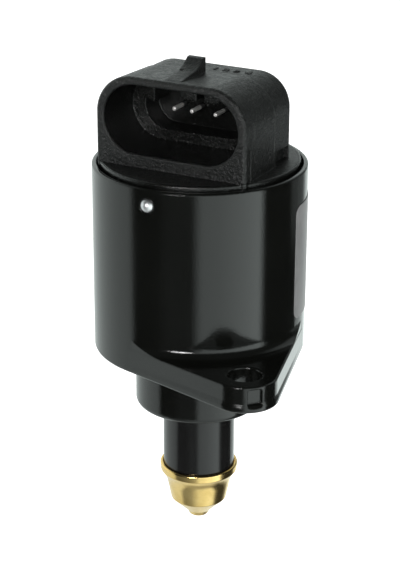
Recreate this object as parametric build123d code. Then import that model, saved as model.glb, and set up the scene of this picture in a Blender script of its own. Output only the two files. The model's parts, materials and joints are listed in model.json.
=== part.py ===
from build123d import *
import os
from math import acos, cos, degrees, radians, sin

# Idle air control valve: a stepper motor in a cast housing turns a nut that slides a brass-tipped plunger.
# Millimetres. The origin is on the motor axis in the plane of the flange's underside, +Z points to the
# connector, and the connector's mouth faces -Y. The plunger is drawn nearly extended.

# Housing: can, two-ear flange and spigot in one casting
can_d = 36.0
can_height = 32.6
can_wall = 1.5
rim_wall = 0.75
rim_depth = 6.8
rim_edge_r = 0.3
flange_t = 4.4
flange_edge_r = 0.2
flange_foot_edge_r = 0.4
flange_fillet_r = 1.7
flange_fillet_inset = 0.05
ear_pitch = 50.0
ear_r = 5.6
ear_hole_d = 5.5
ear_hole_edge_r = 0.3
ear_angle = 45.0
ear_foot_h = 0.9
ear_flare = 0.25
ear_flare_h = 0.7
ear_pocket_w = 2.3
ear_pocket_h = 2.6
ear_pocket_mid = 2.55
ear_pocket_depth = 0.8
ear_pocket_corner_r = 0.3
ear_pocket_bevel = 0.3
spigot_d = 22.0
spigot_length = 11.0
spigot_edge_r = 1.0
spigot_lip_t = 1.2
spigot_lip_gap = 0.3
motor_floor_z = 6.3
overrun = 1.0
touch = 0.001

# Cap: plug disc, connector hood, socket and latch ramp in one moulding
disc_gap = 0.5
disc_rise = 0.75
disc_edge_r = 0.3
plug_pocket_d = 23.0
plug_pocket_depth = 2.0
hood_w = 27.4
hood_front = 10.55
hood_step = 1.0
hood_rear = 6.9
hood_height = 14.95
hood_draft = 0.4
hood_inset = 0.35
hood_wall = 1.3
hood_side_wall = 1.5
hood_corner_r = 6.6
hood_rear_corner_r = 5.6
hood_front_edge_r = 0.65
hood_step_edge_r = 1.2
hood_rear_edge_r = 1.0
hood_base_depth = 1.0
socket_h = 11.5
socket_depth = 9.55
socket_edge_r = 0.4
recess_w = 19.4
recess_h = 7.8
recess_depth = 4.3
side_pocket_h = 2.2
side_pocket_depth = 0.8
side_pocket_margin = 0.4
side_ridge_setback = 1.8
side_ridge_w = 0.3
side_ridge_h = 5.2
side_ridge_proud = 0.12
key_w = 1.9
key_x = -8.1
key_drop = 4.25
key_slant = 0.5
key_proud = 1.6
roof_key_w = 7.6
roof_key_x = 2.7
roof_key_drop = 2.85
roof_key_bevel = 0.75
roof_key_slot_w = 1.4
roof_key_length = 4.0
latch_w = 3.0
latch_setback = 1.25
latch_length = 8.3
latch_lead = 4.6
latch_lead_rise = 0.6
latch_height = 2.2
latch_land = 0.8
latch_land_rise = 0.1
latch_sag = 0.3
latch_notch_w = 0.9
latch_notch_length = 0.7
latch_notch_depth = 0.5

# Contact pins
terminal_d = 0.75
terminal_first_x = -4.53
terminal_pitches = (3.3, 4.4, 4.4)
terminal_reach = 4.1
terminal_drop = 0.3
terminal_embed = 1.15
terminal_bend_r = 0.9
terminal_tail = 1.0
terminal_tip_r = 0.25

# Locking balls and cap seal
ball_count = 2
ball_d = 2.4
ball_below_rim = 2.7
ball_proud = 0.65
ball_hole_gap = 0.05
ball_groove_gap = 0.06
seal_cord_d = 1.44
seal_below_rim = 5.0
seal_gap = 0.03
seal_groove_gap = 0.12

# Stator
stator_gap = 0.1
iron_t = 0.9
pole_count = 6
pole_base_w = 4.0
pole_tip_w = 2.2
pole_end_gap = 0.8
air_gap = 0.3
bobbin_wall = 0.7
bobbin_gap = 0.1
winding_inset = 0.4
winding_gap = 0.05
end_plate_t = 1.0
spring_t = 0.35
spring_height = 0.8
spring_w = 2.6

# Rotor and its bearings
magnet_d = 20.1
magnet_wall = 3.65
rotor_foot_gap = 0.6
rotor_head_gap = 0.6
hub_bore_gap = 0.35
journal_wall = 0.9
journal_gap = 0.06
bush_wall = 1.4
bush_length = 2.0
bush_end_gap = 0.3
nut_across_flats = 8.0
nut_length = 7.5
nut_seat = 0.8
nut_gap = 0.08
bearing_bore_d = 8.0
bearing_d = 16.0
bearing_width = 4.0
bearing_sink = 1.6
bearing_seat_gap = 0.02
bearing_seat_wall = 1.35
bearing_ball_d = 2.0
bearing_ball_count = 8
bearing_ball_gap = 0.04
bearing_land = 0.35
cage_t = 0.5
cage_height = 3.0
cage_gap = 0.15

# Plunger
stem_d = 12.44
stem_reach = 24.3
stem_top_gap = 8.4
stem_chamfer = 0.4
stem_gap = 0.08
key_rib_w = 2.0
key_rib_h = 0.7
key_rib_length = 3.0
key_rib_gap = 0.1
guide_wall = 1.4
keyway_floor = 0.6
seal_t = 1.2
wiper_gap = 0.05
screw_d = 4.9
screw_top = 18.6
screw_shoulder = 19.9
screw_spigot_d = 3.4
screw_spigot_length = 8.5
tip_cup_gap = 0.15
tip_lip_wall = 0.47
tip_lip_rise = 1.3
tip_lip_h = 1.3
tip_lip_taper = 0.08
tip_lip_edge_r = 0.3
tip_neck_d = 11.1
tip_neck_h = 2.4
tip_neck_hollow = 0.2
tip_cone_d = 9.8
tip_cone_h = 3.2
tip_nose_d = 4.3
tip_nose_h = 2.65
tip_end_d = 3.2
tip_end_h = 0.95
tip_edge_r = 0.35

# Derived radii and heights
can_r = can_d / 2
cavity_r = can_r - can_wall
rim_r = can_r - rim_wall
plug_r = rim_r - disc_gap
disc_top = can_height + disc_rise
step_z = can_height - rim_depth
pole_in_r = magnet_d / 2 + air_gap
pole_out_r = pole_in_r + iron_t
stator_r = cavity_r - stator_gap
stack_top = step_z - spring_height - end_plate_t
phase_h = (stack_top - motor_floor_z) / 2
bearing_r = bearing_d / 2
bearing_seat_r = bearing_r + bearing_seat_gap
bearing_ball_ring_r = (bearing_d + bearing_bore_d) / 4
stem_r = stem_d / 2
guide_in_r = stem_r + stem_gap
guide_out_r = guide_in_r + guide_wall
screw_r = screw_d / 2
hub_bore_r = screw_r + hub_bore_gap
journal_r = hub_bore_r + journal_wall
bush_in_r = journal_r + journal_gap
bush_out_r = bush_in_r + bush_wall
bearing_z = motor_floor_z - bearing_sink
bearing_top = bearing_z + bearing_width
rotor_foot = bearing_top + rotor_foot_gap
rotor_head = stack_top - rotor_head_gap
spigot_bottom = -spigot_length
seal_seat = spigot_bottom + spigot_lip_t
guide_bottom = seal_seat + seal_t
stem_top = bearing_z - stem_top_gap
hood_top = disc_top + hood_height
socket_mid = hood_top - hood_wall - socket_h / 2
socket_w = hood_w - 2 * hood_side_wall
shoulder_y = socket_depth - hood_front
recess_back = shoulder_y + recess_depth
terminal_z = socket_mid - terminal_drop
terminal_tip_y = recess_back - terminal_reach
terminal_leg_y = recess_back + terminal_embed
terminal_end = step_z + terminal_tail
ball_z = can_height - ball_below_rim
ball_ring_r = can_r + ball_proud - ball_d / 2
seal_z = can_height - seal_below_rim
seal_ring_r = rim_r - seal_gap - seal_cord_d / 2


# Revolves a closed outline of radius and height points about the motor axis
def turned(*outline):
    return revolve(Plane.XZ * make_face(Polyline(*outline, close=True)), Axis.Z)


# Tube between two radii and two heights
def ring(r_in, r_out, z_low, z_high):
    return turned((r_in, z_low), (r_out, z_low), (r_out, z_high), (r_in, z_high))


# Upright solid cylinder
def rod(radius, z_low, z_high, x=0.0, y=0.0):
    return Pos(x, y, z_low) * extrude(Circle(radius), z_high - z_low)


# Block between two corners
def block(low, high):
    size = [b - a for a, b in zip(low, high)]
    middle = [(a + b) / 2 for a, b in zip(low, high)]
    return Pos(*middle) * Box(*size)


# Copies of a solid turned evenly about the motor axis
def around(solid, count, start=0.0):
    return [Rot(0, 0, start + 360 / count * i) * solid for i in range(count)]


# Extrudes a sketch drawn in X and Z from one Y to another
def along_y(sketch, y_front, y_rear):
    return extrude(Plane.XZ.offset(-y_rear) * sketch, y_rear - y_front)


# Direction of an angle counted from the connector's front towards +X
def heading(angle):
    return sin(radians(angle)), -cos(radians(angle))


# Flange outline: the can's circle, both ear circles of the given radius and the lines that touch them
def flange_outline(end_r):
    spread = degrees(acos((can_r - end_r) / (ear_pitch / 2)))
    corners = []
    outline = Circle(can_r)
    for side in (ear_angle, ear_angle + 180):
        ear_x, ear_y = (ear_pitch / 2 * c for c in heading(side))
        outline += Pos(ear_x, ear_y) * Circle(end_r)
        for turn, radius, centre in (
            (-spread, can_r, (0, 0)),
            (-spread, end_r, (ear_x, ear_y)),
            (spread, end_r, (ear_x, ear_y)),
            (spread, can_r, (0, 0)),
        ):
            dx, dy = heading(side + turn)
            corners.append((centre[0] + radius * dx, centre[1] + radius * dy))
    return outline + make_face(Polyline(*corners, close=True))


# Edges of a body that lie on a cut made in it
def edges_on(body, cut):
    return body.edges().filter_by(lambda e: cut.distance_to(e.center()) < touch)


def build_housing():
    # The ears flare out to their foot, and the flare fades along the flange's straight sides
    foot = flange_outline(ear_r)
    outline = flange_outline(ear_r - ear_flare)
    flange = extrude(foot, ear_foot_h) + extrude(outline, flange_t)
    flange += loft([Pos(0, 0, ear_foot_h) * foot, Pos(0, 0, ear_foot_h + ear_flare_h) * outline], ruled=True)
    flange = fillet(flange.edges().group_by(Axis.Z)[-1], flange_edge_r)
    flange = fillet(flange.edges().group_by(Axis.Z)[0], flange_foot_edge_r)
    can = rod(can_r, flange_t / 2, can_height)
    can = fillet(can.edges().group_by(Axis.Z)[-1], rim_edge_r)
    spigot = rod(spigot_d / 2, spigot_bottom, flange_t / 2)
    spigot = fillet(spigot.edges().group_by(Axis.Z)[0], spigot_edge_r)
    # Hollow corner between can and flange, kept to the flange's own outline
    corner = turned(
        (can_r - overrun, flange_t - overrun),
        (can_r + flange_fillet_r, flange_t - overrun),
        (can_r + flange_fillet_r, flange_t),
        (can_r, flange_t + flange_fillet_r),
        (can_r - overrun, flange_t + flange_fillet_r),
    )
    hollow = revolve(
        Plane.XZ * Pos(can_r + flange_fillet_r, flange_t + flange_fillet_r) * Circle(flange_fillet_r), Axis.Z
    )
    keep = extrude(offset(outline, -flange_fillet_inset), flange_t + 2 * flange_fillet_r)
    corner = (corner - hollow) & keep
    body = flange + can + spigot + corner
    # Way through from the plunger's lip up to the cap's seat
    body -= turned(
        (0, spigot_bottom - overrun),
        (stem_r + spigot_lip_gap, spigot_bottom - overrun),
        (stem_r + spigot_lip_gap, seal_seat),
        (guide_out_r, seal_seat),
        (guide_out_r, bearing_z),
        (bearing_seat_r, bearing_z),
        (bearing_seat_r, bearing_top),
        (bearing_seat_r + bearing_seat_wall, bearing_top),
        (bearing_seat_r + bearing_seat_wall, motor_floor_z),
        (cavity_r, motor_floor_z),
        (cavity_r, step_z),
        (rim_r, step_z),
        (rim_r, can_height + overrun),
        (0, can_height + overrun),
    )
    # Screw holes with rounded edges
    for side in (ear_angle, ear_angle + 180):
        ear_x, ear_y = (ear_pitch / 2 * c for c in heading(side))
        hole = rod(ear_hole_d / 2, 0, flange_t, ear_x, ear_y)
        body -= hole
        body = fillet(edges_on(body, hole).filter_by(GeomType.CIRCLE), ear_hole_edge_r)
    # Pocket with a bevelled mouth in the end of each ear
    sections = []
    for reach in (-ear_pocket_bevel, ear_pocket_bevel):
        wider = reach + ear_pocket_bevel
        section = RectangleRounded(
            ear_pocket_w + 2 * wider, ear_pocket_h + 2 * wider, ear_pocket_corner_r + wider
        )
        sections.append(Plane.YZ.offset(reach) * section)
    pocket = extrude(sections[0], ear_pocket_bevel - ear_pocket_depth) + loft(sections, ruled=True)
    for side in (ear_angle, ear_angle + 180):
        end_x, end_y = ((ear_pitch / 2 + ear_r - ear_flare) * c for c in heading(side))
        body -= Pos(end_x, end_y, ear_pocket_mid) * Rot(0, 0, side - 90) * pocket
    # Holes for the locking balls
    hole = Pos(0, -can_r, ball_z) * Rot(90, 0, 0) * Cylinder(ball_d / 2 + ball_hole_gap, 4 * rim_wall)
    for copy in around(hole, ball_count):
        body -= copy
    return body


# Arch with a flat foot and rounded shoulders
def arch(half_w, z_low, z_high, corner_r):
    sketch = Pos(0, (z_low + z_high) / 2) * Rectangle(2 * half_w, z_high - z_low)
    return fillet(sketch.vertices().group_by(Axis.Y)[-1], corner_r)


# Oval with round ends about the socket's middle
def oval(width, height):
    return Pos(0, socket_mid) * SlotOverall(width, height)


def build_hood():
    half_w = hood_w / 2
    base = disc_top - hood_base_depth
    clear_of_foot = disc_top - hood_base_depth / 2
    # The front part's top falls towards the step, where the rear part starts a little smaller all round
    front = loft(
        [
            Plane.XZ.offset(hood_front) * arch(half_w, base, hood_top, hood_corner_r),
            Plane.XZ.offset(-hood_step) * arch(half_w, base, hood_top - hood_draft, hood_corner_r),
        ],
        ruled=True,
    )
    step_edges = front.faces().sort_by(Axis.Y)[-1].edges()
    front = fillet([e for e in step_edges if e.center().Z > clear_of_foot], hood_step_edge_r)
    front_edges = front.faces().sort_by(Axis.Y)[0].edges()
    front = fillet([e for e in front_edges if e.center().Z > clear_of_foot], hood_front_edge_r)
    front -= along_y(oval(socket_w, socket_h), -hood_front - overrun, shoulder_y)
    mouth = front.faces().sort_by(Axis.Y)[0].inner_wires()[0]
    front = fillet(mouth.edges(), socket_edge_r)
    rear_top = hood_top - hood_draft - hood_inset
    rear = along_y(
        arch(half_w - hood_inset, base, rear_top, hood_rear_corner_r), shoulder_y, hood_rear
    )
    back = rear.faces().sort_by(Axis.Y)[-1].edges()
    rear = fillet([e for e in back if e.center().Z > clear_of_foot], hood_rear_edge_r)
    hood = front + rear
    hood -= along_y(oval(recess_w, recess_h), shoulder_y - overrun, recess_back)
    # A raised line low on both sides of the front part, and a shallow pocket low on both sides of the rear
    ridge_y = side_ridge_setback - hood_front
    for side in (-1, 1):
        hood += block(
            (side * half_w - side_ridge_proud, ridge_y, base),
            (side * half_w + side_ridge_proud, ridge_y + side_ridge_w, disc_top + side_ridge_h),
        )
        hood -= block(
            (side * half_w - side_pocket_depth - hood_inset, hood_step + side_pocket_margin, disc_top),
            (
                side * half_w + side_pocket_depth + hood_inset,
                hood_rear - hood_rear_edge_r,
                disc_top + side_pocket_h,
            ),
        )
    return hood


# Keys on the socket's roof: a narrow one at the left and a wide one with bevels, split by a slot
def build_keys():
    roof = socket_mid + socket_h / 2
    low = roof - key_drop
    narrow = make_face(
        Polyline(
            (key_x - key_w / 2, low),
            (key_x + key_w / 2, low - key_slant),
            (key_x + key_w / 2, hood_top),
            (key_x - key_w / 2, hood_top),
            close=True,
        )
    )
    keys = along_y(narrow, shoulder_y - key_proud, recess_back + terminal_embed / 2)
    low = roof - roof_key_drop
    for side in (-1, 1):
        inner = roof_key_x + side * roof_key_slot_w / 2
        outer = roof_key_x + side * roof_key_w / 2
        rib = make_face(
            Polyline(
                (inner, hood_top),
                (inner, low),
                (outer - side * roof_key_bevel, low),
                (outer, low + roof_key_bevel),
                (outer, hood_top),
                close=True,
            )
        )
        keys += along_y(rib, shoulder_y - roof_key_length, shoulder_y + hood_inset)
    # Both kinds end inside the hood's own wall
    hold = along_y(oval(socket_w + hood_wall / 2, socket_h + hood_wall / 2), -hood_front, hood_rear)
    return keys & hold


# Latch ramp: a long flat lead, a hollow rise, a short land and a square back
def build_latch():
    start = -hood_front + latch_setback
    end = start + latch_length
    knee = (start + latch_lead, hood_top + latch_lead_rise)
    crest = (end - latch_land, hood_top + latch_height - latch_land_rise)
    sag = ((knee[0] + crest[0]) / 2, (knee[1] + crest[1]) / 2 - latch_sag)
    root = hood_top - hood_wall / 2
    outline = Line((start, root), (start, hood_top))
    outline += Line((start, hood_top), knee)
    outline += ThreePointArc(knee, sag, crest)
    outline += Line(crest, (end, hood_top + latch_height))
    outline += Line((end, hood_top + latch_height), (end, root))
    outline += Line((end, root), (start, root))
    latch = extrude(Plane.YZ.offset(-latch_w / 2) * make_face(outline), latch_w)
    # Notch in the left edge where the lead ends
    return latch - block(
        (-latch_w / 2 - overrun, knee[0] - latch_notch_length / 2, knee[1] - latch_notch_depth),
        (latch_notch_w - latch_w / 2, knee[0] + latch_notch_length / 2, hood_top + latch_height),
    )


def build_cap():
    plug = turned(
        (0, step_z + plug_pocket_depth),
        (plug_pocket_d / 2, step_z + plug_pocket_depth),
        (plug_pocket_d / 2, step_z),
        (plug_r, step_z),
        (plug_r, disc_top),
        (0, disc_top),
    )
    plug = fillet(plug.edges().group_by(Axis.Z)[-1], disc_edge_r)
    groove_r = seal_ring_r - seal_cord_d / 2 - seal_gap
    groove_h = seal_cord_d / 2 + seal_groove_gap
    plug -= ring(groove_r, can_r, seal_z - groove_h, seal_z + groove_h)
    plug -= Pos(0, 0, ball_z) * Torus(ball_ring_r, ball_d / 2 + ball_groove_gap)
    hood = build_hood() & rod(plug_r + disc_gap / 2, step_z, hood_top + overrun)
    cap = plug + hood + build_keys() + build_latch()
    for terminal in build_terminals():
        cap -= terminal
    return cap


# Contact pins: a round wire that leaves the socket's back wall, bends down and ends below the plug
def build_terminals():
    pins = []
    x = terminal_first_x
    for step in (0, *terminal_pitches):
        x += step
        path = FilletPolyline(
            (x, terminal_tip_y, terminal_z),
            (x, terminal_leg_y, terminal_z),
            (x, terminal_leg_y, terminal_end),
            radius=terminal_bend_r,
        )
        pin = sweep(Plane(path @ 0, z_dir=path % 0) * Circle(terminal_d / 2), path=path)
        tip = pin.edges().sort_by(Axis.Y)[0]
        pins.append(fillet(tip, terminal_tip_r))
    return pins


def build_locking_balls():
    return Compound(around(Pos(0, -ball_ring_r, ball_z) * Sphere(ball_d / 2), ball_count))


def build_cap_seal():
    return Pos(0, 0, seal_z) * Torus(seal_ring_r, seal_cord_d / 2)


# One claw-pole iron: a ring plate at z with its poles standing along the given direction
def claw_plate(z, up, turn):
    length = phase_h - 2 * iron_t - pole_end_gap
    root = z + iron_t / 2
    tip = root + up * (length + iron_t / 2)
    face, back = (z + iron_t, z) if up > 0 else (z, z + iron_t)
    tooth = make_face(
        Polyline(
            (-pole_base_w / 2, root),
            (pole_base_w / 2, root),
            (pole_tip_w / 2, tip),
            (-pole_tip_w / 2, tip),
            close=True,
        )
    )
    tooth = along_y(tooth, -stator_r, -pole_in_r / 2)
    keep = rod(stator_r + overrun, z, z + iron_t)
    for copy in around(tooth, pole_count, turn):
        keep += copy
    blank = turned(
        (pole_in_r, back),
        (stator_r, back),
        (stator_r, face),
        (pole_out_r, face),
        (pole_out_r, tip + up * overrun),
        (pole_in_r, tip + up * overrun),
    )
    return blank & keep


# The two irons of one phase: a cup with the outer wall and the plate that closes it
def build_phase(z, cup_below, turn):
    half_pitch = 180 / pole_count
    low = claw_plate(z, 1, turn)
    high = claw_plate(z + phase_h - iron_t, -1, turn + half_pitch)
    wall = ring(stator_r - iron_t, stator_r, z + iron_t, z + phase_h - iron_t)
    if cup_below:
        low += wall
    else:
        high += wall
    return low, high


def build_bobbin(z):
    low = z + iron_t + bobbin_gap
    high = z + phase_h - iron_t - bobbin_gap
    r_in = pole_out_r + bobbin_gap
    r_out = stator_r - iron_t - bobbin_gap
    bobbin = turned(
        (r_in, low),
        (r_out, low),
        (r_out, low + bobbin_wall),
        (r_in + bobbin_wall, low + bobbin_wall),
        (r_in + bobbin_wall, high - bobbin_wall),
        (r_out, high - bobbin_wall),
        (r_out, high),
        (r_in, high),
    )
    winding = ring(
        r_in + bobbin_wall + winding_gap,
        r_out - winding_inset,
        low + bobbin_wall + winding_gap,
        high - bobbin_wall - winding_gap,
    )
    return bobbin, winding


def build_end_plate():
    return ring(bush_out_r, stator_r, stack_top, stack_top + end_plate_t)


def build_clamp_spring():
    low = stack_top + end_plate_t
    high = step_z
    r_out = stator_r - stator_gap
    r_in = r_out - spring_w
    return turned((r_in, high - spring_t), (r_out, low), (r_out, low + spring_t), (r_in, high))


def build_upper_bush():
    low = rotor_head + bush_end_gap
    return ring(bush_in_r, bush_out_r, low, low + bush_length)


# Six-sided bar that the nut is cut from and the hub is moulded round
def nut_prism():
    hexagon = RegularPolygon(nut_across_flats / 2, 6, major_radius=False)
    return Pos(0, 0, rotor_foot + nut_seat) * extrude(hexagon, nut_length)


def build_rotor():
    core_r = magnet_d / 2 - magnet_wall
    magnet = ring(core_r, magnet_d / 2, rotor_foot, rotor_head)
    hub = turned(
        (hub_bore_r, bearing_z + bearing_land),
        (bearing_bore_d / 2, bearing_z + bearing_land),
        (bearing_bore_d / 2, bearing_top),
        (bearing_bore_d / 2 + bearing_land, bearing_top),
        (bearing_bore_d / 2 + bearing_land, rotor_foot),
        (core_r, rotor_foot),
        (core_r, rotor_head),
        (journal_r, rotor_head),
        (journal_r, rotor_head + bush_end_gap + bush_length),
        (hub_bore_r, rotor_head + bush_end_gap + bush_length),
    )
    hub -= nut_prism()
    nut = nut_prism() - rod(screw_r + nut_gap, rotor_foot, rotor_head)
    return magnet, hub, nut


def build_bearing():
    groove = Pos(0, 0, bearing_z + bearing_width / 2) * Torus(
        bearing_ball_ring_r, bearing_ball_d / 2 + bearing_ball_gap
    )
    land = bearing_ball_d / 2 - bearing_land
    outer = ring(bearing_ball_ring_r + land, bearing_r, bearing_z, bearing_top) - groove
    inner = ring(bearing_bore_d / 2, bearing_ball_ring_r - land, bearing_z, bearing_top) - groove
    middle = bearing_z + bearing_width / 2
    ball = Pos(bearing_ball_ring_r, 0, middle) * Sphere(bearing_ball_d / 2)
    balls = Compound(around(ball, bearing_ball_count))
    cage = ring(
        bearing_ball_ring_r - cage_t / 2,
        bearing_ball_ring_r + cage_t / 2,
        middle - cage_height / 2,
        middle + cage_height / 2,
    )
    pocket_r = bearing_ball_d / 2 + cage_gap
    pocket = Pos(bearing_ball_ring_r, 0, middle) * Rot(0, 90, 0) * Cylinder(pocket_r, 2 * cage_t)
    for copy in around(pocket, bearing_ball_count):
        cage -= copy
    return outer, inner, balls, cage


def build_guide_bush():
    bush = ring(guide_in_r, guide_out_r, guide_bottom, bearing_z)
    slot_w = key_rib_w / 2 + key_rib_gap
    slot_r = stem_r + key_rib_h + key_rib_gap
    slot = block((-slot_w, 0, guide_bottom + keyway_floor), (slot_w, slot_r, bearing_z + overrun))
    for copy in around(slot, 2):
        bush -= copy
    return bush


def build_stem_seal():
    return ring(stem_r + wiper_gap, guide_out_r, seal_seat, guide_bottom)


def build_plunger():
    bottom = -stem_reach
    stem = rod(stem_r, bottom, stem_top)
    rib = block(
        (-key_rib_w / 2, 0, stem_top - key_rib_length),
        (key_rib_w / 2, stem_r + key_rib_h, stem_top),
    )
    stem = chamfer(stem.edges().group_by(Axis.Z)[0], stem_chamfer)
    for copy in around(rib, 2):
        stem += copy
    screw = rod(screw_r, -screw_shoulder, screw_top)
    screw += rod(screw_spigot_d / 2, -screw_shoulder - screw_spigot_length, -screw_shoulder)
    screw = chamfer(screw.edges().group_by(Axis.Z)[-1], stem_chamfer)
    stem -= screw
    # Tip from its cup down: lip, hollow neck, slow cone, steep nose and blunt end
    cup_r = stem_r + tip_cup_gap
    lip_r = cup_r + tip_lip_wall
    lip_top = bottom + tip_lip_rise
    neck_top = lip_top - tip_lip_h
    cone_top = neck_top - tip_neck_h
    nose_top = cone_top - tip_cone_h
    end_top = nose_top - tip_nose_h
    tip_bottom = end_top - tip_end_h
    neck_start = (lip_r - tip_lip_taper, neck_top)
    neck_end = (tip_neck_d / 2, cone_top)
    hollow = ((neck_start[0] + neck_end[0]) / 2 - tip_neck_hollow, (neck_top + cone_top) / 2)
    outline = Polyline(
        (0, tip_bottom),
        (0, bottom),
        (cup_r, bottom),
        (cup_r, lip_top),
        (lip_r, lip_top),
        neck_start,
    )
    outline += ThreePointArc(neck_start, hollow, neck_end)
    outline += Polyline(
        neck_end,
        (tip_cone_d / 2, nose_top),
        (tip_nose_d / 2, end_top),
        (tip_end_d / 2, tip_bottom),
        (0, tip_bottom),
    )
    profile = make_face(outline)
    lip_corners = [v for v in profile.vertices() if v.X > (cup_r + lip_r) / 2]
    profile = fillet(lip_corners, tip_lip_edge_r)
    corners = [v for v in profile.vertices() if v.X > tip_edge_r and v.Y < cone_top + tip_edge_r]
    profile = fillet(corners, tip_edge_r)
    tip = revolve(Plane.XZ * profile, Axis.Z) - screw
    return stem, screw, tip


def build_all():
    nodes = {"housing": build_housing(), "connector_cap": build_cap()}
    for number, pin in enumerate(build_terminals(), 1):
        nodes[f"terminal_{number}"] = pin
    nodes["locking_balls"] = build_locking_balls()
    nodes["cap_seal_ring"] = build_cap_seal()
    half_step = 90 / pole_count
    nodes["stator_cup_lower"], nodes["stator_plate_lower"] = build_phase(motor_floor_z, True, 0)
    upper_z = motor_floor_z + phase_h
    nodes["stator_plate_upper"], nodes["stator_cup_upper"] = build_phase(upper_z, False, half_step)
    nodes["coil_bobbin_lower"], nodes["coil_winding_lower"] = build_bobbin(motor_floor_z)
    nodes["coil_bobbin_upper"], nodes["coil_winding_upper"] = build_bobbin(upper_z)
    nodes["end_plate"] = build_end_plate()
    nodes["clamp_spring"] = build_clamp_spring()
    nodes["upper_bush"] = build_upper_bush()
    nodes["rotor_magnet"], nodes["rotor_hub"], nodes["rotor_nut"] = build_rotor()
    outer, inner, balls, cage = build_bearing()
    nodes["bearing_outer_race"] = outer
    nodes["bearing_inner_race"] = inner
    nodes["bearing_balls"] = balls
    nodes["bearing_cage"] = cage
    nodes["guide_bush"] = build_guide_bush()
    nodes["stem_seal"] = build_stem_seal()
    nodes["plunger_stem"], nodes["lead_screw"], nodes["valve_tip"] = build_plunger()
    return nodes


os.makedirs("parts", exist_ok=True)
for name, solid in build_all().items():
    export_step(solid, f"parts/{name}.step")
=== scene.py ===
import json
import math

import bpy
import numpy as np
from mathutils import Matrix, Vector


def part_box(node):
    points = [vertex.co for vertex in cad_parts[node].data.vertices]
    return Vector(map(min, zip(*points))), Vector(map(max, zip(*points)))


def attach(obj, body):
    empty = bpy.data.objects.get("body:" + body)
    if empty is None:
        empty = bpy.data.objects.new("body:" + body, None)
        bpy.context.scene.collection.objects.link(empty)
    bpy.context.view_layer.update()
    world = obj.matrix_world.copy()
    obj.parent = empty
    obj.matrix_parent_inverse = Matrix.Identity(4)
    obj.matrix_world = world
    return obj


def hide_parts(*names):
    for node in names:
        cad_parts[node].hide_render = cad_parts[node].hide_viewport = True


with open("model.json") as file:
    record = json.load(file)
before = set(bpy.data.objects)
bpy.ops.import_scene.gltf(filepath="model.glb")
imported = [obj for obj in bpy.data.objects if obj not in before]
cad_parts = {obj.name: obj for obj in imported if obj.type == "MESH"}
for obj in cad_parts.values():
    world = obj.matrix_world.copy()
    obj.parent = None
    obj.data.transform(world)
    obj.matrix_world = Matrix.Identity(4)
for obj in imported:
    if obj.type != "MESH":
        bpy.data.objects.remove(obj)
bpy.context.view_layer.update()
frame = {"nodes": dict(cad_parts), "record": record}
nodes = frame["nodes"]
mm = 0.001
fullTurn = 2 * math.pi
print("frame loaded:", len(nodes), "nodes")


# A value inside a shader: arithmetic on it adds Math nodes, node() adds any other kind
class Value:
    def __init__(self, tree, socket):
        self.tree = tree
        self.socket = socket

    def node(self, kind, settings, inputs, output=0):
        made = self.tree.nodes.new(kind)
        for name, value in settings.items():
            setattr(made, name, value)
        for key, value in inputs.items():
            if isinstance(value, Value):
                self.tree.links.new(value.socket, made.inputs[key])
            else:
                made.inputs[key].default_value = value
        return Value(self.tree, made.outputs[output])

    def math(self, operation, *values):
        return self.node("ShaderNodeMath", {"operation": operation}, dict(enumerate(values)))

    def __add__(self, other):
        return self.math("ADD", self, other)

    def __sub__(self, other):
        return self.math("SUBTRACT", self, other)

    def __rsub__(self, other):
        return self.math("SUBTRACT", other, self)

    def __mul__(self, other):
        return self.math("MULTIPLY", self, other)

    def __pow__(self, other):
        return self.math("POWER", self, other)

    __radd__ = __add__
    __rmul__ = __mul__

    def most(self, other):
        return self.math("MAXIMUM", self, other)

    def between(self, low, high):  # low where this value is 0, high where it is 1
        return self * (high - low) + low

    def blend(self, other, share):  # this value, with a share of the other
        return self * (1 - share) + other * share

    def ramp(self, low, high):  # smooth step from 0 at low to 1 at high
        settings = {"interpolation_type": "SMOOTHSTEP"}
        return self.node("ShaderNodeMapRange", settings, {"Value": self, "From Min": low, "From Max": high})

    def past(self, start, end):  # the same step between two places in millimetres
        return self.ramp(start * mm, end * mm)

    def mix(self, first, second):  # colours mixed by this value
        settings = {"data_type": "RGBA", "clamp_factor": True}
        return self.node("ShaderNodeMix", settings, {0: self, 6: first, 7: second}, 2)

    def part(self, axis):  # one number of a place
        return self.node("ShaderNodeSeparateXYZ", {}, {0: self}, axis)

    def noise(self, scale, detail=2.0, rough=0.5):  # this value is a place
        inputs = {"Vector": self, "Scale": scale, "Detail": detail, "Roughness": rough}
        return self.node("ShaderNodeTexNoise", {}, inputs)

    # This value is a place: a ridge for each pitch up the axis, 0 to 1, that strays a little
    def rings(self, pitch, stray, strayScale):
        turns = self.part(2) * (fullTurn / (pitch * mm)) + self.noise(strayScale) * stray
        return self.math("SINE", turns).between(0.5, 1.0)

    # Depth in millimetres, and so is edges, the radius that sharp corners seem to have
    def bump(self, strength, depth, edges=0.0):
        inputs = {"Height": self, "Strength": strength, "Distance": depth * mm}
        if edges:
            inputs["Normal"] = self.node("ShaderNodeBevel", {"samples": 6}, {"Radius": edges * mm})
        return self.node("ShaderNodeBump", {}, inputs)


# A finish: constants go straight on the shader's sockets, what varies is linked by name
def newFinish(name, constants):
    material = bpy.data.materials.new(name)
    material.use_nodes = True
    tree = material.node_tree
    shader = tree.nodes["Principled BSDF"]
    for key, value in constants.items():
        shader.inputs[key].default_value = value
    coordinates = tree.nodes.new("ShaderNodeTexCoord")
    place = Value(tree, coordinates.outputs["Object"])

    def link(**varying):
        for key, value in varying.items():
            tree.links.new(value.socket, shader.inputs[key.replace("_", " ")])

    return material, place, link


def grey(level, warmth=0.0, green=0.0):
    return (level * (1 + warmth), level * (1 + green), level * (1 - warmth), 1.0)


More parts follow.
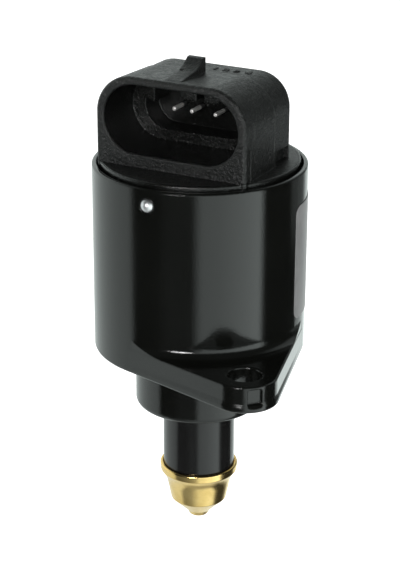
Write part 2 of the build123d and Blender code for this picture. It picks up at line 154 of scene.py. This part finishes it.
blackCoatLook = dict(
    base=0.0018, worn=0.0045, warmth=0.04, green=0.14, rough=(0.09, 0.15),
    cloudScale=90.0, peelScale=2600.0, peel=0.8, peelDepth=0.012, edge=0.35,
)


def blackCoat():  # smooth gloss coat with a slight orange peel
    look = blackCoatLook
    material, place, link = newFinish("black_coat", {"IOR": 1.5})
    cloud = place.noise(look["cloudScale"], detail=4.0)
    peel = place.noise(look["peelScale"], detail=1.0)
    base, worn = (grey(look[level], look["warmth"], look["green"]) for level in ("base", "worn"))
    link(
        Base_Color=cloud.mix(base, worn),
        Roughness=cloud.between(*look["rough"]),
        Normal=peel.bump(look["peel"], look["peelDepth"], look["edge"]),
    )
    return material


# Pairs are where a range starts and ends, those of the socket, shoulder and disc in millimetres
capGrainLook = dict(
    dark=0.002, light=0.0045, warmth=0.03, green=0.1, speck=0.032, rough=(0.29, 0.53), contrast=(0.3, 0.7),
    pebbleScale=2600.0, flowScale=900.0, cloudScale=260.0, pebbleRough=0.6, fibreEnds=(0.58, 0.72),
    colourCloud=0.4, roughFlow=0.5, pitFlow=0.25, grain=0.3, edge=0.4,
    smoothRough=0.2, smoothPits=0.6, frontGrain=0.3, frontTilt=(-0.9, -0.7),
    socketMid=41.25, socketHalf=6.45, socketWall=(5.85, 6.15), socketMouth=(-10.3, -10.1),
    socketEnd=(4.5, 4.7), shoulder=(-0.7, -0.4), discEdge=(16.3, 16.5), discTop=(33.4, 33.5),
)


def capGrain():  # glass-filled plastic with a fine pebbled skin, smoother in the socket and round the disc
    look = capGrainLook
    material, place, link = newFinish("cap_grain", {"IOR": 1.46})
    pebbles = place.noise(look["pebbleScale"], 3.0, look["pebbleRough"])
    cloud = place.noise(look["cloudScale"], 3.0)
    flow = place.noise(look["flowScale"], 3.0, look["pebbleRough"])  # blotches left by the moulding
    fibres = place.noise(look["pebbleScale"], 3.0).ramp(*look["fibreEnds"])  # glass that catches light
    side, depth, height = (place.part(axis) for axis in range(3))
    across = side.math("ABSOLUTE", side) - look["socketHalf"] * mm
    rise = height - look["socketMid"] * mm
    fromAxis = (across.most(0.0) ** 2.0 + rise ** 2.0) ** 0.5
    socket = (1 - fromAxis.past(*look["socketWall"])) * depth.past(*look["socketMouth"])
    socket = socket * (1 - depth.past(*look["socketEnd"]))
    facing = place.node("ShaderNodeNewGeometry", {}, {}, "Normal").part(1)
    fronts = (1 - facing.ramp(*look["frontTilt"])) * (1 - depth.past(*look["shoulder"]))
    socket = socket * (1 - fronts * look["frontGrain"])  # the shoulder and keys keep some of the grain
    fromCentre = (side * side + depth * depth) ** 0.5
    discRing = fromCentre.past(*look["discEdge"]) * (1 - height.past(*look["discTop"]))
    smooth = socket.most(discRing)
    dark, light = (grey(look[level], look["warmth"], look["green"]) for level in ("dark", "light"))
    skin = pebbles.blend(cloud, look["colourCloud"]).ramp(*look["contrast"]).mix(dark, light)
    rough = pebbles.blend(flow, look["roughFlow"]).ramp(*look["contrast"]).between(*look["rough"])
    pits = pebbles.blend(flow, look["pitFlow"]) * (1 - smooth * look["smoothPits"])
    link(
        Base_Color=(fibres * (1 - smooth)).mix(skin, grey(look["speck"])),
        Roughness=rough.blend(look["smoothRough"], smooth),
        Normal=pits.bump(1.0, look["grain"], look["edge"]),
    )
    return material


# The near-black shank colour is painted shade on the pin behind its tinned tip
pinLook = dict(
    tin=(0.88, 0.87, 0.84, 1), dull=(0.7, 0.69, 0.66, 1), shankShade=(0.05, 0.05, 0.05, 1), shadeRamp=(2.6, 3.2),
    cloudScale=1500.0, rough=(0.4, 0.55), dents=0.1, dentDepth=0.01,
)


def tinnedPin():  # tinned tip; the shank behind it is painted near black as shade
    look = pinLook
    material, place, link = newFinish("tinned_pin", {"Metallic": 0.6})
    cloud = place.noise(look["cloudScale"], 3.0)
    fromTip = place.part(1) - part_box("terminal_1")[0][1]
    tinned = cloud.mix(look["dull"], look["tin"])
    link(
        # past the ramp from the tip the pin takes the painted shade colour
        Base_Color=fromTip.past(*look["shadeRamp"]).mix(tinned, look["shankShade"]),
        Roughness=cloud.between(*look["rough"]),
        Normal=cloud.bump(look["dents"], look["dentDepth"]),
    )
    return material


stemSatinLook = dict(
    dark=0.004, light=0.008, rough=(0.14, 0.26),
    stretch=(1, 1, 0.05), scuffScale=1500.0, scuff=0.2, scuffDepth=0.01,
)


def stemSatin():  # moulded stem, rubbed along its length
    look = stemSatinLook
    material, place, link = newFinish("stem_satin", {"IOR": 1.46})
    stretched = place.node("ShaderNodeMapping", {}, {"Vector": place, "Scale": look["stretch"]})
    scuffs = stretched.noise(look["scuffScale"], 3.0)
    link(
        Base_Color=scuffs.mix(grey(look["dark"]), grey(look["light"])),
        Roughness=scuffs.between(*look["rough"]),
        Normal=scuffs.bump(look["scuff"], look["scuffDepth"]),
    )
    return material


wireLook = dict(
    pitch=0.26, stray=0.8, strayScale=300.0, light=(0.80, 0.34, 0.15, 1), dark=(0.42, 0.15, 0.06, 1),
    rough=(0.42, 0.26), ridge=0.6, ridgeDepth=0.06,
)


def enamelWire():  # rows of fine wire, one ridge per turn up the axis; the grooves between turns are painted darker as shade
    look = wireLook
    material, place, link = newFinish("enamel_wire", {"Metallic": 0.85, "Coat Weight": 0.4})
    ridge = place.rings(look["pitch"], look["stray"], look["strayScale"])
    link(
        # the darker copper in the grooves between turns is painted shade
        Base_Color=ridge.mix(look["dark"], look["light"]),
        Roughness=ridge.between(*look["rough"]),
        Normal=ridge.bump(look["ridge"], look["ridgeDepth"]),
    )
    return material


metalGrain = dict(
    cloudScale=420.0, toolScale=2200.0, toolRough=0.7, toolShare=0.4, contrast=(0.2, 0.8),
    stray=2.0, strayScale=500.0, markDepth=0.01,
)
metalLooks = {
    "bright_ball": dict(bright=(0.82, 0.82, 0.83, 1), dull=(0.7, 0.7, 0.71, 1), rough=(0.36, 0.5)),
    "tip_brass": dict(
        bright=(0.93, 0.68, 0.3, 1), dull=(0.66, 0.44, 0.14, 1), rough=(0.12, 0.22),
        ringPitch=0.14, marks=0.12,
    ),
    "stator_iron": dict(bright=(0.6, 0.6, 0.58, 1), dull=(0.45, 0.45, 0.43, 1), rough=(0.3, 0.46)),
    "spring_steel": dict(bright=(0.44, 0.45, 0.47, 1), dull=(0.3, 0.3, 0.32, 1), rough=(0.25, 0.4)),
    "bearing_bronze": dict(bright=(0.62, 0.42, 0.22, 1), dull=(0.42, 0.27, 0.13, 1), rough=(0.35, 0.5)),
    "race_steel": dict(
        bright=(0.72, 0.72, 0.73, 1), dull=(0.6, 0.6, 0.61, 1), rough=(0.12, 0.22),
        ringPitch=0.1, marks=0.08,
    ),
    "screw_steel": dict(
        bright=(0.66, 0.66, 0.67, 1), dull=(0.5, 0.5, 0.51, 1), rough=(0.2, 0.34),
        ringPitch=0.12, marks=0.1,
    ),
}


# Metals share one recipe: cloudy tint, uneven polish and tool marks as rings up the axis or as grain
def metal(name, bright, dull, rough, ringPitch=0.0, marks=0.1):
    look = metalGrain
    material, place, link = newFinish(name, {"Metallic": 1.0})
    cloud = place.noise(look["cloudScale"], 3.0)
    if ringPitch:
        tool = place.rings(ringPitch, look["stray"], look["strayScale"])
    else:
        tool = place.noise(look["toolScale"], 4.0, look["toolRough"])
    link(
        Base_Color=cloud.blend(tool, look["toolShare"]).ramp(*look["contrast"]).mix(dull, bright),
        Roughness=tool.between(*rough),
        Normal=tool.bump(marks, look["markDepth"]),
    )
    return material


matteGrain = dict(cloudSize=12, cloudShare=0.5, contrast=(0.25, 0.75), roughSpread=0.08, grainDepth=0.015)
matteLooks = {
    "seal_rubber": dict(dark=grey(0.012), light=grey(0.028), rough=0.62),
    "bobbin_plastic": dict(dark=grey(0.58, 0.06), light=grey(0.72, 0.05), rough=0.45),
    "hub_plastic": dict(dark=grey(0.45, 0.05), light=grey(0.58, 0.05), rough=0.45),
    "guide_plastic": dict(dark=grey(0.2, 0.02), light=grey(0.3, 0.02), rough=0.4),
    "ferrite": dict(dark=grey(0.045), light=grey(0.085), rough=0.38, scale=2600.0, grain=0.35),
    "label_film": dict(dark=grey(0.13), light=grey(0.2), rough=0.34, scale=900.0, grain=0.08),
    # the numerals' near-black colour is painted shade on the moulded digits, not ink
    "numeral_shade": dict(dark=grey(0.003), light=grey(0.006), rough=0.6),
}


# Plain mouldings, rubber, ferrite, film and the numerals' painted shade share another: two greys or tints
# over fine grain
def matte(name, dark, light, rough, scale=1800.0, grain=0.2):
    look = matteGrain
    material, place, link = newFinish(name, {"IOR": 1.48})
    fine = place.noise(scale, 3.0)
    cloud = place.noise(scale / look["cloudSize"], 2.0)
    link(
        Base_Color=fine.blend(cloud, look["cloudShare"]).ramp(*look["contrast"]).mix(dark, light),
        Roughness=fine.between(rough - look["roughSpread"], rough + look["roughSpread"]),
        Normal=fine.bump(grain, look["grainDepth"]),
    )
    return material


finishes = {
    "black_casting": blackCoat(),
    "grey_moulding": capGrain(),
    "stem_plastic": stemSatin(),
    "tinned_pin": tinnedPin(),
    "copper_wire": enamelWire(),
}
for name, look in metalLooks.items():
    finishes[name] = metal(name, **look)
for name, look in matteLooks.items():
    finishes[name] = matte(name, **look)
for entry in frame["record"]["subparts"]:
    node = nodes[entry["node"]]
    node.data.materials.clear()
    node.data.materials.append(finishes[entry["material_slot"]])
print("finishes set:", len(finishes))


# A shaded mesh becomes a piece at the origin
def addPiece(name, mesh, sharpAngle=35.0):
    mesh.shade_smooth()
    mesh.set_sharp_from_angle(angle=math.radians(sharpAngle))
    piece = bpy.data.objects.new(name, mesh)
    bpy.context.scene.collection.objects.link(piece)
    return piece


# A grid of points becomes a mesh of four-sided faces; a closed one goes all round and gets flat ends
def gridMesh(name, points, closed=False):
    rows, columns = points.shape[:2]
    index = np.arange(rows * columns).reshape(rows, columns)
    if closed:
        index = np.concatenate([index, index[:, :1]], 1)
    corners = (index[:-1, :-1], index[:-1, 1:], index[1:, 1:], index[1:, :-1])
    faces = np.stack([corner.ravel() for corner in corners], 1).tolist()
    if closed:
        faces += [index[0, -2::-1].tolist(), index[-1, :-1].tolist()]
    mesh = bpy.data.meshes.new(name)
    mesh.from_pydata(points.reshape(-1, 3).tolist(), [], faces)
    return addPiece(name, mesh)


labelLook = dict(
    canRadius=18.0, gap=0.01, thick=0.08, start=88.7, arc=90.0, low=7.4, high=27.3, corner=1.5,
    columns=91, rows=41,
)


# Bare film round the can: heading by column, height by row, rows near an edge drawn in by a quarter circle
def addLabel():
    look = labelLook
    radius = look["canRadius"] + look["gap"]
    rowAngles = np.linspace(-1, 1, look["rows"]) * np.pi / 2  # rows lie closer near the edges
    across, up = np.meshgrid(np.linspace(-1, 1, look["columns"]), np.sin(rowAngles))
    half = (look["high"] - look["low"]) / 2
    fromEdge = np.minimum(half * (1 - np.abs(up)), look["corner"])
    drawnIn = look["corner"] - np.sqrt(look["corner"] ** 2 - (look["corner"] - fromEdge) ** 2)
    reach = np.radians(look["arc"]) / 2 - drawnIn / radius
    heading = np.radians(look["start"] + look["arc"] / 2) + across * reach
    height = look["low"] + half * (1 + up)
    points = np.stack([radius * np.sin(heading), -radius * np.cos(heading), height], 2)
    label = gridMesh("side_label", points * mm)
    wall = label.modifiers.new("film", "SOLIDIFY")
    wall.thickness = look["thick"] * mm
    wall.offset = 1.0
    label.data.materials.append(finishes["label_film"])
    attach(label, "body")


numeralLook = dict(
    across={"1": 1.12, "2": 3.07, "3": 4.99, "4": 7.14}, back=3.3, size=1.6, wide=1.25, bold=0.05, rise=0.09
)


def addNumerals():  # plain terminal numbers, moulded proud on top of the hood's rear part, coloured near black as painted shade
    look = numeralLook
    cap = nodes["connector_cap"].data
    places = np.empty(len(cap.vertices) * 3)
    cap.vertices.foreach_get("co", places)
    places = places.reshape(-1, 3)
    top = places[places[:, 1] > look["back"] * mm, 2].max()
    size = look["size"] * mm
    for text, across in look["across"].items():
        letters = bpy.data.curves.new("letters", "FONT")
        letters.body = text
        letters.align_x = "CENTER"
        letters.align_y = "CENTER"
        letters.extrude = look["rise"] / look["size"]
        letters.offset = look["bold"]
        drawn = bpy.data.objects.new("letters", letters)
        mesh = bpy.data.meshes.new_from_object(drawn)
        bpy.data.objects.remove(drawn)
        mesh.transform(Matrix.Diagonal((size * look["wide"], size, size, 1)))
        mesh.transform(Matrix.Translation((across * mm, look["back"] * mm, top)))
        numeral = addPiece("numeral_" + text, mesh)
        numeral.data.materials.clear()
        numeral.data.materials.append(finishes["numeral_shade"])
        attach(numeral, "body")


screwLook = dict(
    root=1.95, pitch=1.0, flank=3.0, flat=0.25, shoulder=-19.9, journal=1.7, lead=0.3,
    columns=48, rowsPerTurn=12,
)


# Radius by height and angle: the ridge follows height / pitch - angle / full turn, crest and root are flat
def addScrew():
    look = screwLook
    lowCorner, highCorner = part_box("lead_screw")
    foot, top, crest = lowCorner[2] / mm, highCorner[2] / mm, highCorner[0] / mm
    root, shoulder, journal, lead = (look[name] for name in ("root", "shoulder", "journal", "lead"))
    angle = np.linspace(0, fullTurn, look["columns"], endpoint=False)
    rows = round((top - shoulder) / look["pitch"] * look["rowsPerTurn"])
    height = np.linspace(shoulder, top, rows)[:, None]
    phase = (height / look["pitch"] - angle / fullTurn) % 1
    ridge = np.clip(look["flank"] * np.abs(phase - 0.5) - look["flat"], 0, 1)
    thread = root + (crest - root) * ridge
    thread = np.minimum(thread, root - lead + top - height)  # cone at the free end
    lower = np.array([[foot, journal - lead], [foot + lead, journal], [shoulder, journal]])
    radius = np.concatenate([np.repeat(lower[:, 1:], look["columns"], 1), thread])
    height = np.concatenate([lower[:, :1], height]) * np.ones_like(angle)
    points = np.stack([radius * np.cos(angle), radius * np.sin(angle), height], 2)
    screw = gridMesh("threaded_screw", points * mm, True)
    screw.data.materials.append(finishes["screw_steel"])
    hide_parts("lead_screw")
    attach(screw, "plunger")


addLabel()
addNumerals()
addScrew()
print("label, numerals and thread made")


# The camera that took the picture, worked out from the object's round edges
cameraView = dict(
    focus=(0.072 * mm, 0.038 * mm, 10.258 * mm), distance=307.93 * mm,
    azimuth=28.05, elevation=21.52, roll=0.232,
    focalPixels=1804.0, pictureHeight=570, sensorHeight=36.0, nearest=0.01,
)


# Unit vector at an azimuth, counted from the socket's side towards +X, and an elevation
def towards(azimuth, elevation):
    turn = math.radians(azimuth)
    rise = math.radians(elevation)
    return Vector((math.sin(turn) * math.cos(rise), -math.cos(turn) * math.cos(rise), math.sin(rise)))


def addCamera():
    look = cameraView
    back = towards(look["azimuth"], look["elevation"])
    level = towards(look["azimuth"] + 90.0, 0.0)
    right = Matrix.Rotation(math.radians(look["roll"]), 4, back) @ level
    up = back.cross(right)
    data = bpy.data.cameras.new("camera")
    data.sensor_fit = "VERTICAL"
    data.sensor_height = look["sensorHeight"]
    data.lens = look["sensorHeight"] * look["focalPixels"] / look["pictureHeight"]
    data.clip_start = look["nearest"]
    camera = bpy.data.objects.new("camera", data)
    bpy.context.scene.collection.objects.link(camera)
    camera.matrix_world = Matrix((right, up, back)).transposed().to_4x4()
    camera.location = Vector(look["focus"]) + back * look["distance"]
    bpy.context.scene.camera = camera


floorLook = dict(level=-60.0 * mm, half=3.0, white=0.9, lift=0.5)


def addFloor():  # a flat square, pale, lifted to white where no shadow falls
    look = floorLook
    span = np.linspace(-look["half"], look["half"], 2)
    x, y = np.meshgrid(span, span)
    floor = gridMesh("floor", np.stack([x, y, np.full_like(x, look["level"])], 2))
    paint = {"Base Color": grey(look["white"]), "Roughness": 1.0}
    glow = {"Emission Color": grey(1.0), "Emission Strength": look["lift"]}
    floor.data.materials.append(newFinish("floor_white", paint | glow)[0])
    floor.visible_glossy = False


# A studio set as the gloss sees it: brightness by azimuth from the camera to its right, one row per height
floorGlow = ((-180, 1.0), (-120, 0.88), (-95, 0.45), (95, 0.45), (120, 0.88), (180, 1.0))
floorEdge = (
    (-180, 0.9), (-84, 0.9), (-70, 0.28), (-34, 0.38), (-14, 0.72), (0, 1.0), (36, 1.25),
    (66, 1.2), (80, 0.15), (90, 0.06), (122, 0.06), (140, 0.4), (155, 1.0), (180, 1.0),
)
frontScreen = (
    (-72, 0.01), (-46, 0.02), (-34, 0.09), (-8, 0.1), (2, 1.3), (20, 1.45), (66, 2.3), (73, 0.02),
)
leftScreens = ((-180, 1.0), (-80, 1.0)) + frontScreen
rightScreens = ((141, 0.22), (146, 0.6), (151, 1.1), (180, 1.15))
lowScreens = leftScreens + ((124, 0.02), (129, 0.9), (141, 1.3), (147, 1.35), (152, 1.5), (180, 1.5))
midScreens = leftScreens + ((124, 0.02), (128, 0.22)) + rightScreens
topScreens = leftScreens + ((110, 0.02), (115, 0.22)) + rightScreens
highLeft = ((-180, 1.1), (-150, 1.25), (-80, 1.2))
highRight = ((110, 0.02), (118, 0.1), (150, 0.2), (165, 0.6), (180, 1.05))
highScreens = highLeft + frontScreen + highRight
backWall = (
    (-180, 0.85), (-150, 1.1), (-118, 1.1), (-106, 0.05), (106, 0.05), (118, 0.45), (150, 0.5), (180, 0.85),
)
darkCeiling = ((-180, 0.05), (180, 0.05))
surroundLook = dict(
    radius=1.0, tint=(0.93, 1.02, 0.995, 1.0), columns=541, rows=301,
    heights=(
        (-90, floorGlow), (-74, floorGlow), (-62, floorEdge), (-43, floorEdge),
        (-26, lowScreens), (-21.6, lowScreens), (-21.1, midScreens), (-18.9, midScreens),
        (-18.3, topScreens), (-6, topScreens), (3, highScreens), (21, highScreens),
        (29, backWall), (48, backWall), (60, darkCeiling), (90, darkCeiling),
    ),
)


def addSurround():  # a ball round the object: point at azimuth u and height angle v
    look = surroundLook
    around = np.linspace(-180, 180, look["columns"])
    rise = np.linspace(-90, 90, look["rows"])
    u, v = np.meshgrid(np.radians(around + cameraView["azimuth"]), np.radians(rise))
    points = np.stack([np.sin(u) * np.cos(v), -np.cos(u) * np.cos(v), np.sin(v)], 2)
    ball = gridMesh("surround", points * look["radius"])
    marks = np.array([height for height, bands in look["heights"]], float)
    levels = np.stack([np.interp(around, *np.array(bands).T) for height, bands in look["heights"]])
    above = np.clip(np.searchsorted(marks, rise), 1, len(marks) - 1)
    share = ((rise - marks[above - 1]) / (marks[above] - marks[above - 1]))[:, None]
    level = levels[above - 1] * (1 - share) + levels[above] * share
    paint = ball.data.color_attributes.new("level", "FLOAT_COLOR", "POINT")
    paint.data.foreach_set("color", (level.reshape(-1, 1) * np.array(look["tint"])).ravel())
    material = bpy.data.materials.new("surround_bands")
    material.use_nodes = True
    tree = material.node_tree
    tree.nodes.remove(tree.nodes["Principled BSDF"])
    start = Value(tree, None)
    colour = start.node("ShaderNodeAttribute", {"attribute_name": "level"}, {})
    glow = start.node("ShaderNodeEmission", {}, {"Color": colour, "Strength": 1.0})
    tree.links.new(glow.socket, tree.nodes["Material Output"].inputs["Surface"])
    ball.data.materials.append(material)
    ball.visible_camera = False
    ball.visible_diffuse = False
    ball.visible_shadow = False
    ball.visible_transmission = False


worldLook = dict(ambient=0.35)


def addWorld():  # white where the camera, gloss or glass looks, a plain soft level for the rest
    world = bpy.data.worlds.new("studio")
    bpy.context.scene.world = world
    world.use_nodes = True
    tree = world.node_tree
    rays = tree.nodes.new("ShaderNodeLightPath")
    seen = Value(tree, rays.outputs["Is Camera Ray"])
    for name in ("Is Glossy Ray", "Is Transmission Ray"):
        seen = seen.most(Value(tree, rays.outputs[name]))
    strength = seen.between(worldLook["ambient"], 1.0)
    tree.links.new(strength.socket, tree.nodes["Background"].inputs["Strength"])
    tree.nodes["Background"].inputs["Color"].default_value = grey(1.0)


# Soft boxes: azimuth from the camera to its right, distance and size in metres, shows: seen in gloss
lamps = dict(
    topBox=dict(azimuth=-150.0, elevation=58.0, distance=0.7, size=(0.6, 0.6), watts=3.5, shows=False),
    rightBox=dict(azimuth=70.0, elevation=30.0, distance=0.7, size=(0.45, 0.45), watts=1.9, shows=False),
    flash=dict(azimuth=-19.0, elevation=17.0, distance=0.5, size=(0.2, 0.05), watts=1.25, shows=True),
)


def addLamps():
    for name, look in lamps.items():
        away = towards(look["azimuth"] + cameraView["azimuth"], look["elevation"])
        data = bpy.data.lights.new(name, "AREA")
        data.shape = "ELLIPSE"
        data.size, data.size_y = look["size"]
        data.energy = look["watts"]
        lamp = bpy.data.objects.new(name, data)
        bpy.context.scene.collection.objects.link(lamp)
        lamp.location = Vector(cameraView["focus"]) + away * look["distance"]
        lamp.rotation_euler = away.to_track_quat("Z", "Y").to_euler()
        lamp.visible_camera = False
        lamp.visible_glossy = look["shows"]


addCamera()
addFloor()
addSurround()
addWorld()
addLamps()
bpy.context.scene.view_settings.view_transform = "Standard"
print("studio set")
